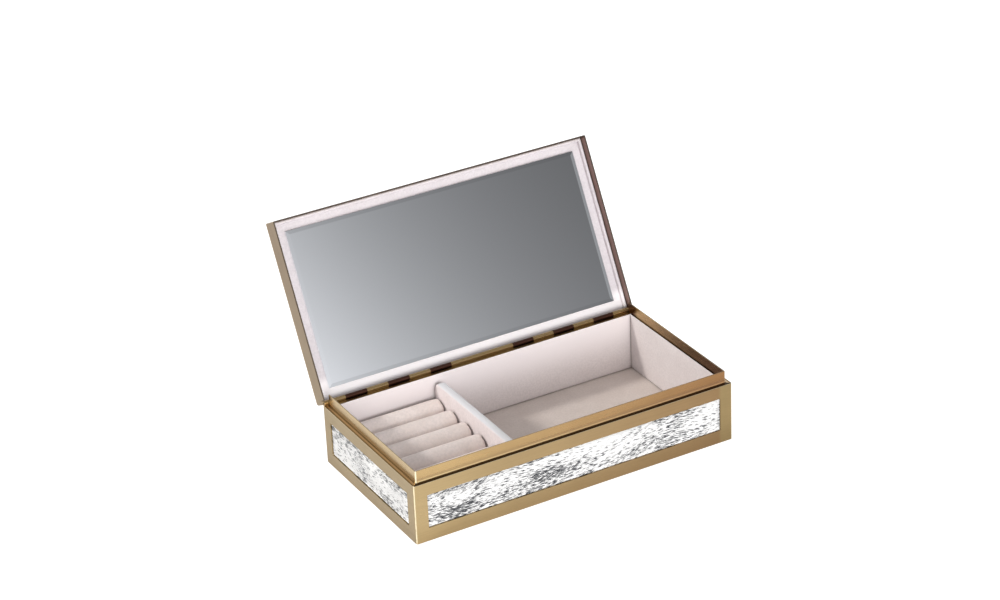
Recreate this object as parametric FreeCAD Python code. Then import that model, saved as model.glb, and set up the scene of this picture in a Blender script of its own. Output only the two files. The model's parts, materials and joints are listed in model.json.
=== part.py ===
"""Shallow jewellery box: brass frames around hair-on-hide panels, velvet lining, mirrored lid.

Frame: millimetres, +X to the right along the hinge, +Y to the back, +Z up.
Origin: centre of the underside. The lid stands open, resting on its stop.
"""
import FreeCAD, Part
import math
import os

V = FreeCAD.Vector

# ---------------------------------------------------------------- driving dimensions
BOX_LENGTH = 254.0
BOX_DEPTH = 133.0
LEDGE_HEIGHT = 45.7
COLLAR_RISE = 9.0
LID_HEIGHT = 15.0
LID_OPEN_ANGLE = 118.0

# Outer frames of the base, cut from sheet, with a turned-in top flange as the ledge
FRAME_SHEET = 1.8
FRAME_BOTTOM = 0.5
LEDGE_SHEET = 1.2
WINDOW_SIDE = 10.0
WINDOW_TOP = 9.6
WINDOW_BOTTOM = 10.6
WINDOW_CORNER_RADIUS = 0.5
CORNER_RADIUS = 1.3
EDGE_RADIUS = 0.3

# Layers behind the frames
PANEL_OVERLAP = 4.0
HIDE_THICKNESS = 1.0
SIDE_BOARD_THICKNESS = 0.7
BACK_BOARD_THICKNESS = 2.9
COLLAR_SHEET = 0.8
COLLAR_EDGE_RADIUS = 0.25
COLLAR_BACK_END = 3.4

# Floor
FELT_THICKNESS = 0.8
FELT_INSET = 2.6
PLATE_THICKNESS = 1.0
FLOOR_LINING = 1.0

# Velvet-covered boards
LINING_THICKNESS = 1.4
LINING_TOP = 47.0
DIVIDER_LEFT = 83.4
DIVIDER_THICKNESS = 7.0
DIVIDER_TOP = 43.0
DIVIDER_CORNER_RADIUS = 8.0
RING_BAR_COUNT = 6
RING_BAR_GAP = 0.3
RING_BAR_TOP = 33.0

# Hinge
HINGE_UNITS = 15
BASE_KNUCKLES = [(0, 1), (2, 3), (4, 5), (6, 9), (10, 11), (12, 13), (14, 15)]
LID_KNUCKLES = [(1, 2), (3, 4), (5, 6), (9, 10), (11, 12), (13, 14)]
HINGE_RISE = 2.0
KNUCKLE_RADIUS = 1.7
BORE_RADIUS = 0.95
PIN_RADIUS = 0.9
PIN_RECESS = 1.2
KNUCKLE_GAP = 0.1
LEAF_SHEET = 0.6
LID_LEAF_HEIGHT = 7.0
STOP_GAP = 0.02

# Lid
LID_SIDE_SHEET = 1.0
LID_TOP_SHEET = 1.5
LID_SEAT_GAP = 0.1
LID_RECESS = 9.3
LID_LINING = 1.5
LID_BORDER_RISE = 3.4
LID_BORDER_GAP = 0.3
LID_BORDER_BACK_END = 2.6
LID_CORNER_RADIUS = 0.8
LID_BACK_RADIUS = 3.0
LID_EDGE_RADIUS = 0.5
LID_WINDOW_MARGIN = 10.0
BARREL_CLEARANCE = 0.12
NOTCH_CLEARANCE = 0.45
MIRROR_SIDE_MARGIN = 9.75
MIRROR_FRONT_MARGIN = 9.0
MIRROR_BACK_MARGIN = 10.0
MIRROR_THICKNESS = 2.0
MIRROR_BEVEL_WIDTH = 2.6
MIRROR_BEVEL_DEPTH = 0.3

FIT = 0.05          # clearance between pieces that are only laid against each other
OVERCUT = 1.0       # how far a cutter runs past the shape that it cuts
TOLERANCE = 1e-6    # two coordinates closer than this are the same

# ---------------------------------------------------------------- derived planes
LEFT = -BOX_LENGTH / 2
RIGHT = BOX_LENGTH / 2
FRONT = -BOX_DEPTH / 2
BACK = BOX_DEPTH / 2

HIDE_OUTER = FRAME_SHEET
BOARD_OUTER = HIDE_OUTER + HIDE_THICKNESS
COLLAR_OUTER = BOARD_OUTER + SIDE_BOARD_THICKNESS
COLLAR_INNER = COLLAR_OUTER + COLLAR_SHEET
BACK_WALL_OUTER = BOARD_OUTER + BACK_BOARD_THICKNESS
BACK_WALL_INNER = BACK_WALL_OUTER + COLLAR_SHEET
LINING_FACE = COLLAR_INNER + LINING_THICKNESS
BACK_LINING_FACE = BACK_WALL_INNER + LINING_THICKNESS

PLATE_TOP = FELT_THICKNESS + PLATE_THICKNESS
FLOOR_TOP = PLATE_TOP + FLOOR_LINING
LEDGE_UNDERSIDE = LEDGE_HEIGHT - LEDGE_SHEET
COLLAR_TOP = LEDGE_HEIGHT + COLLAR_RISE

LID_BOTTOM = LEDGE_HEIGHT + LID_SEAT_GAP
LID_TOP = LEDGE_HEIGHT + LID_HEIGHT
LID_TOP_UNDERSIDE = LID_TOP - LID_TOP_SHEET
LID_HIDE_UNDERSIDE = LID_TOP_UNDERSIDE - HIDE_THICKNESS
LID_LINING_FACE = LEDGE_HEIGHT + LID_RECESS
LID_LINING_BACK = LID_LINING_FACE + LID_LINING

# The lid stops when the outer face of its back side meets the rounded back edge of the
# ledge. That fixes how far the hinge axis lies in front of the back face.
STOP_SINE = math.sin(math.radians(LID_OPEN_ANGLE))
STOP_COSINE = math.cos(math.radians(LID_OPEN_ANGLE))
STOP_REACH = (HINGE_RISE + EDGE_RADIUS) * STOP_SINE - EDGE_RADIUS * (1 + STOP_COSINE)
HINGE_INSET = (STOP_REACH - STOP_GAP) / (1 - STOP_COSINE)
HINGE_Y = BACK - HINGE_INSET
HINGE_Z = LEDGE_HEIGHT + HINGE_RISE
HINGE_UNIT = BOX_LENGTH / HINGE_UNITS


# ---------------------------------------------------------------- helpers
def block(x_low, x_high, y_low, y_high, z_low, z_high):
    """Box between two corners."""
    return Part.makeBox(x_high - x_low, y_high - y_low, z_high - z_low, V(x_low, y_low, z_low))


def inset_block(side, front, back, z_low, z_high):
    """Box whose walls lie in from the outer faces of the box by the given distances."""
    return block(LEFT + side, RIGHT - side, FRONT + front, BACK - back, z_low, z_high)


def prism(points, direction):
    """Straight prism over a closed polygon."""
    return Part.Face(Part.makePolygon(points + [points[0]])).extrude(direction)


def rounded_prism(outline, direction):
    """Straight prism over a closed list of edges."""
    return Part.Face(Part.Wire(Part.__sortEdges__(outline))).extrude(direction)


def edges_along(shape, axis, keep):
    """Straight edges that run along one axis and whose centre passes the keep test."""
    found = []
    for edge in shape.Edges:
        if len(edge.Vertexes) != 2:
            continue
        run = edge.Vertexes[1].Point - edge.Vertexes[0].Point
        if abs(abs(run.dot(axis)) - run.Length) < TOLERANCE and keep(edge.CenterOfMass):
            found.append(edge)
    return found


def on_outer_corner(point):
    """True on the four vertical outer corners of the box."""
    side = min(abs(point.x - LEFT), abs(point.x - RIGHT))
    end = min(abs(point.y - FRONT), abs(point.y - BACK))
    return max(side, end) < TOLERANCE


def mitre_split(ring):
    """Cut a rectangular ring into its four sides along the corner diagonals."""
    over = 5 * OVERCUT
    z_low = ring.BoundBox.ZMin - over
    up = V(0, 0, ring.BoundBox.ZLength + 2 * over)
    half = BOX_DEPTH / 2
    ridge_left = (LEFT + half, 0.0)
    ridge_right = (RIGHT - half, 0.0)
    corners = {
        "fl": (LEFT - over, FRONT - over),
        "fr": (RIGHT + over, FRONT - over),
        "bl": (LEFT - over, BACK + over),
        "br": (RIGHT + over, BACK + over),
    }
    wedges = {
        "front": [corners["fl"], corners["fr"], ridge_right, ridge_left],
        "back": [corners["bl"], ridge_left, ridge_right, corners["br"]],
        "left": [corners["fl"], ridge_left, corners["bl"]],
        "right": [corners["fr"], corners["br"], ridge_right],
    }
    sides = {}
    for name, outline in wedges.items():
        wedge = prism([V(x, y, z_low) for x, y in outline], up)
        sides[name] = ring.common(wedge)
    return sides


def window_cutter(length, height, depth):
    """Window shape on XY with rounded corners, extruded along Z and centred on the origin."""
    cutter = Part.makeBox(length, height, depth, V(-length / 2, -height / 2, -depth / 2))
    upright = edges_along(cutter, V(0, 0, 1), lambda point: True)
    return cutter.makeFillet(WINDOW_CORNER_RADIUS, upright)


# ---------------------------------------------------------------- base: outer frames
def base_windows():
    """The four window cutters of the base, one through each face."""
    height = LEDGE_HEIGHT - WINDOW_TOP - WINDOW_BOTTOM
    middle = WINDOW_BOTTOM + height / 2
    depth = 2 * (FRAME_SHEET + OVERCUT)
    cutters = []
    for y in (FRONT, BACK):
        cutter = window_cutter(BOX_LENGTH - 2 * WINDOW_SIDE, height, depth)
        cutter.rotate(V(0, 0, 0), V(1, 0, 0), 90)
        cutter.translate(V(0, y, middle))
        cutters.append(cutter)
    for x in (LEFT, RIGHT):
        cutter = window_cutter(BOX_DEPTH - 2 * WINDOW_SIDE, height, depth)
        cutter.rotate(V(0, 0, 0), V(1, 0, 0), 90)
        cutter.rotate(V(0, 0, 0), V(0, 0, 1), 90)
        cutter.translate(V(x, 0, middle))
        cutters.append(cutter)
    return cutters


def base_frames():
    """Four mitred frames with windows and a turned-in ledge."""
    shell = inset_block(0, 0, 0, FRAME_BOTTOM, LEDGE_HEIGHT)
    shell = shell.makeFillet(CORNER_RADIUS, edges_along(shell, V(0, 0, 1), on_outer_corner))
    rims = [edge for edge in shell.Edges if abs(edge.BoundBox.ZLength) < TOLERANCE]
    shell = shell.makeFillet(EDGE_RADIUS, rims)
    hollow = inset_block(FRAME_SHEET, FRAME_SHEET, FRAME_SHEET, 0, LEDGE_UNDERSIDE)
    mouth = inset_block(COLLAR_OUTER, COLLAR_OUTER, BACK_WALL_OUTER, 0, LEDGE_HEIGHT + OVERCUT)
    shell = shell.cut(hollow).cut(mouth)
    for cutter in base_windows():
        shell = shell.cut(cutter)
    return mitre_split(shell)


def base_layers():
    """Hide panels and the boards behind them, for each face."""
    hide_low = WINDOW_BOTTOM - PANEL_OVERLAP
    hide_high = LEDGE_HEIGHT - WINDOW_TOP + PANEL_OVERLAP
    hide_end = WINDOW_SIDE - PANEL_OVERLAP
    board_end = COLLAR_OUTER + FIT
    board_low = PLATE_TOP + FIT
    board_high = LEDGE_UNDERSIDE - FIT
    layers = {}

    def along_x(y_low, y_high, end, z_low, z_high):
        return block(LEFT + end, RIGHT - end, y_low, y_high, z_low, z_high)

    def along_y(x_low, x_high, end, z_low, z_high):
        return block(x_low, x_high, FRONT + end, BACK - end, z_low, z_high)

    layers["hide_panel_front"] = along_x(
        FRONT + HIDE_OUTER, FRONT + BOARD_OUTER, hide_end, hide_low, hide_high)
    layers["hide_panel_back"] = along_x(
        BACK - BOARD_OUTER, BACK - HIDE_OUTER, hide_end, hide_low, hide_high)
    layers["hide_panel_left"] = along_y(
        LEFT + HIDE_OUTER, LEFT + BOARD_OUTER, hide_end, hide_low, hide_high)
    layers["hide_panel_right"] = along_y(
        RIGHT - BOARD_OUTER, RIGHT - HIDE_OUTER, hide_end, hide_low, hide_high)
    layers["board_front"] = along_x(
        FRONT + BOARD_OUTER, FRONT + COLLAR_OUTER, board_end, board_low, board_high)
    layers["board_back"] = along_x(
        BACK - BACK_WALL_OUTER, BACK - BOARD_OUTER, board_end, board_low, board_high)
    layers["board_left"] = along_y(
        LEFT + BOARD_OUTER, LEFT + COLLAR_OUTER, FRAME_SHEET + FIT, board_low, board_high)
    layers["board_right"] = along_y(
        RIGHT - COLLAR_OUTER, RIGHT - BOARD_OUTER, FRAME_SHEET + FIT, board_low, board_high)
    return layers


# ---------------------------------------------------------------- base: collar and floor
def collar_walls():
    """Sheet walls that rise above the ledge on three sides and stay under the hinge at the back."""
    outer = block(LEFT + COLLAR_OUTER, RIGHT - COLLAR_OUTER,
                  FRONT + COLLAR_OUTER, BACK - COLLAR_BACK_END, PLATE_TOP, COLLAR_TOP)
    front_corners = edges_along(outer, V(0, 0, 1), lambda point: point.y < 0)
    outer = outer.makeFillet(COLLAR_EDGE_RADIUS * 2, front_corners)
    hollow = block(LEFT + COLLAR_INNER, RIGHT - COLLAR_INNER,
                   FRONT + COLLAR_INNER, BACK, 0, COLLAR_TOP + OVERCUT)
    under_ledge = block(LEFT, RIGHT, BACK - BACK_WALL_OUTER, BACK, 0, LEDGE_HEIGHT + FIT)
    walls = outer.cut(hollow).cut(under_ledge)
    top_edges = [edge for edge in walls.Edges
                 if abs(edge.CenterOfMass.z - COLLAR_TOP) < TOLERANCE and edge.Length > COLLAR_SHEET + FIT]
    walls = walls.makeFillet(COLLAR_EDGE_RADIUS, top_edges)
    sides = mitre_split(walls)
    back_left = sides["back"].common(block(LEFT, 0, 0, BACK, 0, COLLAR_TOP))
    back_right = sides["back"].common(block(0, RIGHT, 0, BACK, 0, COLLAR_TOP))
    return {
        "collar_front": sides["front"],
        "collar_left": sides["left"].fuse(back_left),
        "collar_right": sides["right"].fuse(back_right),
        "inner_wall_back": block(LEFT + COLLAR_INNER, RIGHT - COLLAR_INNER,
                                 BACK - BACK_WALL_INNER, BACK - BACK_WALL_OUTER,
                                 PLATE_TOP, LEDGE_HEIGHT),
    }


def floor_pieces():
    """Felt, base plate and the two velvet floors."""
    plate_inset = FRAME_SHEET + FIT
    y_low = FRONT + COLLAR_INNER + FIT
    y_high = BACK - BACK_WALL_INNER - FIT
    divider_left = LEFT + DIVIDER_LEFT
    divider_right = divider_left + DIVIDER_THICKNESS
    return {
        "base_felt": inset_block(FELT_INSET, FELT_INSET, FELT_INSET, 0, FELT_THICKNESS),
        "base_plate": inset_block(plate_inset, plate_inset, plate_inset, FELT_THICKNESS, PLATE_TOP),
        "floor_lining_rings": block(LEFT + COLLAR_INNER + FIT, divider_left - FIT,
                                    y_low, y_high, PLATE_TOP, FLOOR_TOP),
        "floor_lining_main": block(divider_right + FIT, RIGHT - COLLAR_INNER - FIT,
                                   y_low, y_high, PLATE_TOP, FLOOR_TOP),
    }


# ---------------------------------------------------------------- base: velvet interior
def wall_linings():
    """Velvet-covered boards around the inside."""
    low = FLOOR_TOP
    y_back = BACK - BACK_WALL_INNER - FIT
    x_end = LINING_FACE + FIT
    return {
        "lining_left": block(LEFT + COLLAR_INNER + FIT, LEFT + LINING_FACE,
                             FRONT + COLLAR_INNER + FIT, y_back, low, LINING_TOP),
        "lining_right": block(RIGHT - LINING_FACE, RIGHT - COLLAR_INNER - FIT,
                              FRONT + COLLAR_INNER + FIT, y_back, low, LINING_TOP),
        "lining_front": block(LEFT + x_end, RIGHT - x_end,
                              FRONT + COLLAR_INNER + FIT, FRONT + LINING_FACE, low, LINING_TOP),
        "lining_back": block(LEFT + x_end, RIGHT - x_end,
                             BACK - BACK_LINING_FACE, y_back, low, LINING_TOP),
    }


def divider():
    """Upright padded board between the two compartments, with rounded top corners."""
    x_low = LEFT + DIVIDER_LEFT
    y_low = FRONT + LINING_FACE + FIT
    y_high = BACK - BACK_LINING_FACE - FIT
    radius = DIVIDER_CORNER_RADIUS
    board = block(x_low, x_low + DIVIDER_THICKNESS, y_low, y_high, PLATE_TOP, DIVIDER_TOP)
    top_ends = edges_along(board, V(1, 0, 0), lambda point: abs(point.z - DIVIDER_TOP) < TOLERANCE)
    return board.makeFillet(radius, top_ends)


def ring_bars():
    """Round-topped foam bars, side by side from the front lining to the back lining."""
    y_low = FRONT + LINING_FACE + FIT
    y_high = BACK - BACK_LINING_FACE - FIT
    pitch = (y_high - y_low) / RING_BAR_COUNT
    radius = (pitch - RING_BAR_GAP) / 2
    x_low = LEFT + LINING_FACE + RING_BAR_GAP
    length = DIVIDER_LEFT - LINING_FACE - 2 * RING_BAR_GAP
    z_centre = RING_BAR_TOP - radius
    bars = {}
    for index in range(RING_BAR_COUNT):
        y = y_high - pitch * (index + 0.5)
        low_front = V(x_low, y - radius, FLOOR_TOP)
        high_front = V(x_low, y - radius, z_centre)
        low_back = V(x_low, y + radius, FLOOR_TOP)
        high_back = V(x_low, y + radius, z_centre)
        crown = Part.Arc(high_front, V(x_low, y, RING_BAR_TOP), high_back).toShape()
        outline = [
            Part.makeLine(low_back, low_front),
            Part.makeLine(low_front, high_front),
            crown,
            Part.makeLine(high_back, low_back),
        ]
        bars["ring_bar_%d" % (index + 1)] = rounded_prism(outline, V(length, 0, 0))
    return bars


# ---------------------------------------------------------------- hinge
def rod(radius, x_low, x_high):
    """Cylinder on the hinge axis."""
    return Part.makeCylinder(radius, x_high - x_low, V(x_low, HINGE_Y, HINGE_Z), V(1, 0, 0))


def knuckle_span(first, last):
    """Ends of a knuckle that covers hinge units first to last, less its share of the gap."""
    x_low = LEFT + first * HINGE_UNIT
    x_high = LEFT + last * HINGE_UNIT
    if first > 0:
        x_low += KNUCKLE_GAP
    if last < HINGE_UNITS:
        x_high -= KNUCKLE_GAP
    return x_low, x_high


def hinge_leaf_base():
    """Leaf that lies on the back ledge and curls up into its knuckles."""
    x_end = COLLAR_INNER + FIT
    curl_front = HINGE_Y - KNUCKLE_RADIUS
    leaf = block(LEFT + x_end, RIGHT - x_end, BACK - BACK_WALL_INNER, curl_front + LEAF_SHEET,
                 LEDGE_HEIGHT, LEDGE_HEIGHT + LEAF_SHEET)
    gap_front = curl_front - 2 * KNUCKLE_GAP
    for first, last in LID_KNUCKLES:
        gap = block(LEFT + first * HINGE_UNIT, LEFT + last * HINGE_UNIT,
                    gap_front, BACK, 0, LEDGE_HEIGHT + HINGE_RISE)
        leaf = leaf.cut(gap)
    for first, last in BASE_KNUCKLES:
        x_low, x_high = knuckle_span(first, last)
        curl = block(x_low, x_high, curl_front, curl_front + LEAF_SHEET, LEDGE_HEIGHT, HINGE_Z)
        leaf = leaf.fuse(curl).fuse(rod(KNUCKLE_RADIUS, x_low, x_high))
    return leaf.cut(rod(BORE_RADIUS, LEFT - OVERCUT, RIGHT + OVERCUT)).removeSplitter()


def hinge_leaf_lid():
    """Leaf on the inner face of the lid's back side, with its knuckles, lid closed."""
    y_high = BACK - LID_SIDE_SHEET
    y_low = y_high - LEAF_SHEET
    z_low = HINGE_Z + KNUCKLE_RADIUS + BARREL_CLEARANCE
    x_end = LID_SIDE_SHEET + FIT
    leaf = block(LEFT + x_end, RIGHT - x_end, y_low, y_high, z_low, LEDGE_HEIGHT + LID_LEAF_HEIGHT)
    for first, last in LID_KNUCKLES:
        x_low, x_high = knuckle_span(first, last)
        neck = block(x_low, x_high, y_low, y_high, HINGE_Z, z_low)
        leaf = leaf.fuse(neck).fuse(rod(KNUCKLE_RADIUS, x_low, x_high))
    return leaf.cut(rod(BORE_RADIUS, LEFT - OVERCUT, RIGHT + OVERCUT)).removeSplitter()


def hinge_pin():
    """Pin through every knuckle, set in a little at both ends."""
    return rod(PIN_RADIUS, LEFT + PIN_RECESS, RIGHT - PIN_RECESS)


# ---------------------------------------------------------------- lid, drawn closed
def lid_shell():
    """Lid sides and top frame as one hollow shape with its window."""
    shell = inset_block(0, 0, 0, LID_BOTTOM, LID_TOP)
    shell = shell.makeFillet(LID_CORNER_RADIUS, edges_along(shell, V(0, 0, 1), on_outer_corner))
    rim = [edge for edge in shell.Edges if edge.BoundBox.ZMin > LID_TOP - TOLERANCE]
    shell = shell.makeFillet(LID_EDGE_RADIUS, rim)
    hollow = inset_block(LID_SIDE_SHEET, LID_SIDE_SHEET, LID_SIDE_SHEET, 0, LID_TOP_UNDERSIDE)
    margin = LID_WINDOW_MARGIN
    window = window_cutter(BOX_LENGTH - 2 * margin, BOX_DEPTH - 2 * margin, 4 * LID_TOP_SHEET)
    window.translate(V(0, 0, LID_TOP))
    return shell.cut(hollow).cut(window)


def lid_back_rounding():
    """Cutter that rounds the lid's long top back edge."""
    radius = LID_BACK_RADIUS
    centre_y = BACK - radius
    centre_z = LID_TOP - radius
    x_low = LEFT - OVERCUT
    x_high = RIGHT + OVERCUT
    corner = block(x_low, x_high, centre_y, BACK + OVERCUT, centre_z, LID_TOP + OVERCUT)
    core = Part.makeCylinder(radius, x_high - x_low, V(x_low, centre_y, centre_z), V(1, 0, 0))
    return corner.cut(core)


def lid_frames():
    """Top frame and the four sides, mitred at the corners and cut clear of the hinge barrel."""
    shell = lid_shell().cut(lid_back_rounding())
    top = shell.common(inset_block(0, 0, 0, LID_TOP_UNDERSIDE, LID_TOP))
    sides = shell.common(inset_block(0, 0, 0, 0, LID_TOP_UNDERSIDE))
    notch_front = HINGE_Y - KNUCKLE_RADIUS - NOTCH_CLEARANCE
    notch_top = HINGE_Z + KNUCKLE_RADIUS + BARREL_CLEARANCE
    sides = sides.cut(block(LEFT, RIGHT, notch_front, BACK, 0, notch_top))
    pieces = {"lid_top_frame": top}
    for name, side in mitre_split(sides).items():
        pieces["lid_side_%s" % name] = side
    return pieces


def bevelled_mirror():
    """Mirror plate with a wide, shallow bevel around the face that looks out of the lid."""
    glass_face = LID_LINING_FACE - MIRROR_THICKNESS
    plate = inset_block(MIRROR_SIDE_MARGIN, MIRROR_FRONT_MARGIN, MIRROR_BACK_MARGIN,
                        glass_face, LID_LINING_FACE)
    box = plate.BoundBox
    edges = [
        (V(box.XMin, 0, glass_face), V(1, 0, 0)),
        (V(box.XMax, 0, glass_face), V(-1, 0, 0)),
        (V(0, box.YMin, glass_face), V(0, 1, 0)),
        (V(0, box.YMax, glass_face), V(0, -1, 0)),
    ]
    for middle, inward in edges:
        along = V(-inward.y, inward.x, 0) * BOX_LENGTH
        start = middle - along
        outline = [
            start - inward - V(0, 0, OVERCUT),
            start + inward * MIRROR_BEVEL_WIDTH,
            start + V(0, 0, MIRROR_BEVEL_DEPTH),
            start - inward + V(0, 0, MIRROR_BEVEL_DEPTH),
        ]
        plate = plate.cut(prism(outline, along * 2))
    return plate


def lid_border():
    """Raised velvet edge of the lid lining, between the lid's sides and the collar."""
    outer = LID_SIDE_SHEET + FIT
    inner = COLLAR_OUTER - LID_BORDER_GAP
    z_low = LID_LINING_FACE - LID_BORDER_RISE
    z_high = LID_LINING_FACE + LID_LINING
    border = inset_block(outer, outer, LID_BORDER_BACK_END, z_low, z_high)
    hollow = inset_block(inner, inner, 0, 0, LID_TOP)
    border = border.cut(hollow)
    crest = [edge for edge in border.Edges if edge.BoundBox.ZMax < z_low + TOLERANCE]
    long_crest = [edge for edge in crest if edge.Length > inner - outer + FIT]
    return border.makeFillet((inner - outer) / 2 - FIT, long_crest)


def lid_filling():
    """Hide panel, backing board, velvet lining and mirror inside the lid."""
    inset = LID_SIDE_SHEET + FIT

    def layer(z_low, z_high):
        return inset_block(inset, inset, inset, z_low, z_high)

    return {
        "lid_hide_panel": layer(LID_HIDE_UNDERSIDE, LID_TOP_UNDERSIDE),
        "lid_board": layer(LID_LINING_BACK, LID_HIDE_UNDERSIDE),
        "lid_lining": layer(LID_LINING_FACE, LID_LINING_BACK).fuse(lid_border()).removeSplitter(),
        "mirror": bevelled_mirror(),
    }


# ---------------------------------------------------------------- assembly
def base_pieces():
    """Every piece of the base, by node name."""
    pieces = {}
    for name, frame in base_frames().items():
        pieces["frame_%s" % name] = frame
    pieces.update(base_layers())
    pieces.update(collar_walls())
    pieces.update(floor_pieces())
    pieces.update(wall_linings())
    pieces["divider"] = divider()
    pieces.update(ring_bars())
    pieces["hinge_leaf_base"] = hinge_leaf_base()
    pieces["hinge_pin"] = hinge_pin()
    return pieces


def lid_pieces():
    """Every piece of the lid, by node name, turned open on the hinge."""
    pieces = lid_frames()
    pieces.update(lid_filling())
    pieces["hinge_leaf_lid"] = hinge_leaf_lid()
    for shape in pieces.values():
        shape.rotate(V(0, HINGE_Y, HINGE_Z), V(1, 0, 0), -LID_OPEN_ANGLE)
    return pieces


def export(pieces):
    """Write each piece to its own STEP file and say what was written."""
    os.makedirs("parts", exist_ok=True)
    for name, shape in pieces.items():
        if len(shape.Solids) != 1 or not shape.isValid():
            print("CHECK", name, "solids", len(shape.Solids), "valid", shape.isValid())
        shape.exportStep("parts/%s.step" % name)
    print("pieces", len(pieces), "hinge axis", round(HINGE_Y, 3), round(HINGE_Z, 3))


ALL_PIECES = base_pieces()
ALL_PIECES.update(lid_pieces())
export(ALL_PIECES)
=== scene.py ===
import json
import math

import bmesh
import bpy
import numpy as np
from mathutils import Matrix, Vector, noise


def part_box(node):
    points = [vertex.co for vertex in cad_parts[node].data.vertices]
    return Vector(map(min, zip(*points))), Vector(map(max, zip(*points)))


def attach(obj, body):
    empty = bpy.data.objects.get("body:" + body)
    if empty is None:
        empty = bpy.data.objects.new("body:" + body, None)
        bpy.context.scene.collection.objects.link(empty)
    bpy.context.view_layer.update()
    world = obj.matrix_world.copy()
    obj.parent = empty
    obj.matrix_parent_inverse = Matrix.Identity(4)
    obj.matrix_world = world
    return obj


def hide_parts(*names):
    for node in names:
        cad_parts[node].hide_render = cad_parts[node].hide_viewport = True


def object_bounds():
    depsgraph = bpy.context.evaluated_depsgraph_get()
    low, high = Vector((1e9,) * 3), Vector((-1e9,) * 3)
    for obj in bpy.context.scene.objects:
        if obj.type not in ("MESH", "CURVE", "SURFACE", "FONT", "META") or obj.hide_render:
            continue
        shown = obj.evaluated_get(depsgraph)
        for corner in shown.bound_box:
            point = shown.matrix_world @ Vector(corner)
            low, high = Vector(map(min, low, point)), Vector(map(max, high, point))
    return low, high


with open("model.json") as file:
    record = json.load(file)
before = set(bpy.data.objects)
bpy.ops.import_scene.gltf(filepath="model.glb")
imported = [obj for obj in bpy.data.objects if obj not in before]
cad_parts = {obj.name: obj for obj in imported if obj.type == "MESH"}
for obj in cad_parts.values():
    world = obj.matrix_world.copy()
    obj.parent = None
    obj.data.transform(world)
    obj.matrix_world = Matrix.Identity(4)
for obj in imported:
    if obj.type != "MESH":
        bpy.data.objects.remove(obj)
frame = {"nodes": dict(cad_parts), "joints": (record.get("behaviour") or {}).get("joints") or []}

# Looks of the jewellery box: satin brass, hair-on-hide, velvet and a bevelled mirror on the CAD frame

MM = 0.001
CAD_LOW, CAD_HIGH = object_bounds()
NODES = frame["nodes"]
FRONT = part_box("frame_front")[0].y
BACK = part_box("frame_back")[1].y
LEDGE_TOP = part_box("frame_front")[1].z
HINGE_JOINT = frame["joints"][0]
HINGE_POINT = Vector(HINGE_JOINT["pos_m"])
OPEN_ANGLE = math.radians(HINGE_JOINT["range_deg"][1])
OPEN = (Matrix.Translation(HINGE_POINT)
        @ Matrix.Rotation(-OPEN_ANGLE, 4, "X")
        @ Matrix.Translation(-HINGE_POINT))
CLOSE = OPEN.inverted()

# Camera of the reference view
CAMERA_PLACE = Vector((-0.8892, -1.5944, 1.0688))
CAMERA_AIM = Vector((-0.0004, 0.0332, 0.1058))
CAMERA_ROLL = math.radians(-2.65)
CAMERA_LENS = 107.66
SENSOR_WIDTH = 36.0

# Light: where each light comes from, its angular size and power, and the sky's tones
KEY_FROM = Vector((-0.808, 0.251, 0.533))
KEY_ANGLE = math.radians(7.0)
KEY_POWER = 1.7
KEY_COLOUR = (1.0, 0.975, 0.94)
FRONT_FROM = Vector((-0.10, -0.97, 0.20))
FRONT_ANGLE = math.radians(27.0)
FRONT_POWER = 1.75
FLOOR_GLOW = 0.88
FLOOR_HALF = 12.0
FLOOR_DROP = 0.05 * MM
SKY_LOW = (0.95, 0.96, 0.98, 1.0)
SKY_TOP = (0.50, 0.50, 0.51, 1.0)
SKY_FRONT = (0.95, 0.96, 0.97, 1.0)

# Grey screen that the mirror shows: its tone is base + gain * exp(fall), in units where the mirror spans
# -1 to 1 each way, and it lifts again past the right edge, where the bevel looks
SCREEN_TINT = (1.0, 1.005, 1.035, 1.0)
SCREEN_BASE = 0.078
SCREEN_GAIN = 0.233
SCREEN_FALL_RIGHT = -0.86
SCREEN_FALL_UP = -0.24
SCREEN_RIGHT_LIMITS = (-1.05, 1.3)
SCREEN_UP_LIMITS = (-1.1, 1.1)
SCREEN_LIFT = (1.8, 4.0, 0.16)
SCREEN_EDGE = (math.radians(34), math.radians(24))

# Fur
PANEL_OVERLAP = 4.0 * MM
LID_WINDOW_MARGIN = 10.0 * MM
HAIR_PER_MM2 = 2.8
LID_HAIR_PER_MM2 = 1.7
HAIR_LENGTH = (3.0 * MM, 5.5 * MM)
HAIR_WIDTH = (0.24 * MM, 0.40 * MM)
HAIR_TILT = 0.04 * MM
HIDE_BULGE = 1.45 * MM
HIDE_BULGE_RUN = 3.5 * MM
HIDE_STEP = 2.0 * MM

# Velvet pieces
LINING_GAP = 0.45 * MM
LINING_EDGE = 0.42 * MM
LID_SHEET = 1.5 * MM
LID_BORDER_WIDTH = 2.1 * MM
LID_BORDER_BACK_GAP = 1.6 * MM
LID_BORDER_STEP = 4.0 * MM
SIM_SCALE = 20.0
CLOTH_FRAMES = 20
CLOTH_PRESSURE = 4.0
HELD_SHARE = 0.12


# ------------------------------------------------------------------ small helpers
def closed_box(node_name):
    """Corners of a lid node with the lid shut."""
    points = np.array([CLOSE @ vertex.co for vertex in NODES[node_name].data.vertices])
    return Vector(points.min(0)), Vector(points.max(0))


def add_object(name, vertices, faces, smooth=True):
    """New mesh object linked to the scene."""
    mesh = bpy.data.meshes.new(name)
    mesh.from_pydata([tuple(v) for v in vertices], [], faces)
    mesh.update()
    mesh.polygons.foreach_set("use_smooth", [smooth] * len(mesh.polygons))
    piece = bpy.data.objects.new(name, mesh)
    bpy.context.scene.collection.objects.link(piece)
    return piece


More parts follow.
